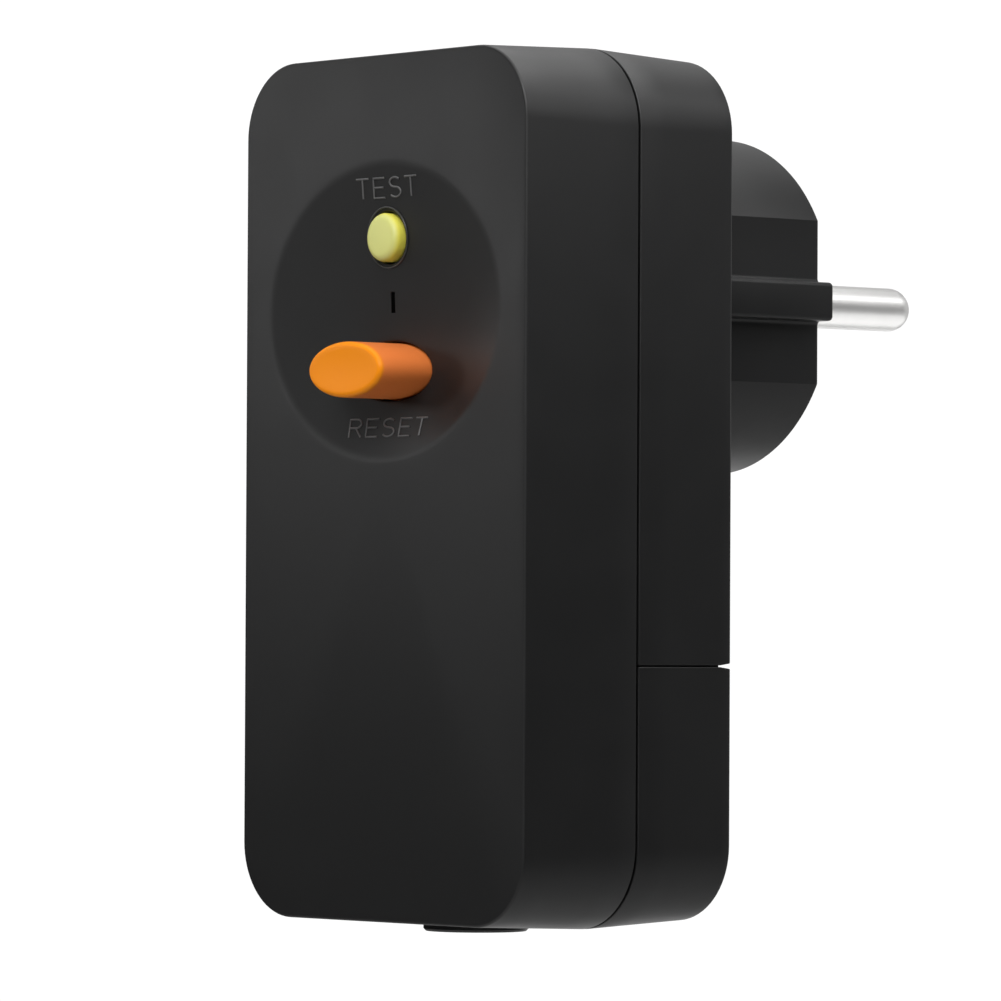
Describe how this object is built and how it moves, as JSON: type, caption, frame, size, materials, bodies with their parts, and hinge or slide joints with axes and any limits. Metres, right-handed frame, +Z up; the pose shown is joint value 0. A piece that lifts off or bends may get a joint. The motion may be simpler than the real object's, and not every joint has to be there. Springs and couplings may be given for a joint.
{
  "type": "residual-current safety adapter plug",
  "caption": "Black plug-in residual-current adapter for a rewirable cord: dished panel with test and reset buttons, split housing, terminal cover, earthed two-pin plug.",
  "frame": {"origin": "middle of the plug's end face, halfway between the two pins", "axes": "+Z up, button face towards -Y, plug pins point along +Y, +X to the right seen from the button side"},
  "size_m": [0.048, 0.0726, 0.0939],
  "materials": {
    "housing_plastic": "near-black moulded plastic, satin with a very fine spark-eroded grain",
    "collar_plastic": "black moulded plastic, satin",
    "seal_rubber": "black seal rubber, dull",
    "screw_steel": "zinc-plated steel",
    "pin_nickel": "satin nickel plate on brass",
    "earth_nickel": "nickel-plated spring brass",
    "terminal_brass": "plain machined brass",
    "contact_copper": "plain copper alloy",
    "inner_plastic": "cream heat-resistant moulding",
    "test_plastic": "pale yellow moulded plastic, satin",
    "reset_plastic": "orange moulded plastic, satin",
    "spring_steel": "drawn spring wire",
    "frame_steel": "plated soft iron",
    "coil_winding": "enamelled copper wire",
    "board_laminate": "green lacquered laminate",
    "dark_resin": "black cast resin",
    "blue_resin": "dipped blue resin",
    "wire_brown": "brown wire insulation",
    "wire_blue": "blue wire insulation"
  },
  "bodies": {
    "housing": {"front_shell": "housing_plastic", "rear_shell": "housing_plastic", "terminal_cover": "housing_plastic", "housing_seal": "seal_rubber", "housing_screw_top_left": "screw_steel", "housing_screw_top_right": "screw_steel", "housing_screw_bottom_left": "screw_steel", "housing_screw_bottom_right": "screw_steel", "cover_screw_left": "screw_steel", "cover_screw_right": "screw_steel", "plug_body": "housing_plastic", "plug_pin_left": "pin_nickel", "plug_pin_right": "pin_nickel", "earth_clip_top": "earth_nickel", "earth_clip_bottom": "earth_nickel", "earth_strap": "terminal_brass", "pin_busbar_left": "contact_copper", "pin_busbar_right": "contact_copper", "inlet_collar": "collar_plastic", "cord_clamp": "inner_plastic", "cord_clamp_screw_left": "screw_steel", "cord_clamp_screw_right": "screw_steel", "terminal_block": "inner_plastic", "terminal_clamp_left": "terminal_brass", "terminal_clamp_earth": "terminal_brass", "terminal_clamp_right": "terminal_brass", "terminal_screw_left": "screw_steel", "terminal_screw_earth": "screw_steel", "terminal_screw_right": "screw_steel", "test_spring": "spring_steel", "test_contact": "contact_copper", "reset_spring": "spring_steel", "switch_chassis": "inner_plastic", "fixed_contact_left": "contact_copper", "fixed_contact_right": "contact_copper", "solenoid_frame": "frame_steel", "solenoid_coil": "coil_winding", "plunger_spring": "spring_steel", "latch_pin": "frame_steel", "circuit_board": "board_laminate", "current_transformer": "dark_resin", "conductor_left": "wire_brown", "conductor_right": "wire_blue", "filter_capacitor": "blue_resin", "surge_varistor": "blue_resin", "test_resistor": "inner_plastic", "control_chip": "dark_resin"},
    "test": {"test_button": "test_plastic"},
    "reset": {"reset_button": "reset_plastic", "contact_carriage": "inner_plastic", "moving_contact_left": "contact_copper", "moving_contact_right": "contact_copper"},
    "plunger": {"trip_plunger": "frame_steel"},
    "latch": {"latch_lever": "inner_plastic"}
  },
  "joints": [
    {"name": "test_press", "type": "slide", "parent": "housing", "child": "test", "axis": [0, 1, 0], "range_m": [0, 0.0012], "stiffness_N_per_m": 300, "springref_m": -0.002, "deforming": ["test_spring"]},
    {"name": "reset_press", "type": "slide", "parent": "housing", "child": "reset", "axis": [0, 1, 0], "range_m": [0, 0.0024], "stiffness_N_per_m": 400, "springref_m": -0.003, "deforming": ["reset_spring"]},
    {"name": "plunger_pull", "type": "slide", "parent": "housing", "child": "plunger", "axis": [-1, 0, 0], "range_m": [0, 0.001], "stiffness_N_per_m": 150, "springref_m": -0.002, "deforming": ["plunger_spring"]},
    {"name": "latch_turn", "type": "hinge", "parent": "housing", "child": "latch", "pos_m": [0.0124, -0.0335, -0.0125], "axis": [0, 1, 0], "range_deg": [0, 15]}
  ],
  "couplings": [
    {"joint": "latch_turn", "follows": "plunger_pull", "rad_per_m": 261.7}
  ]
}
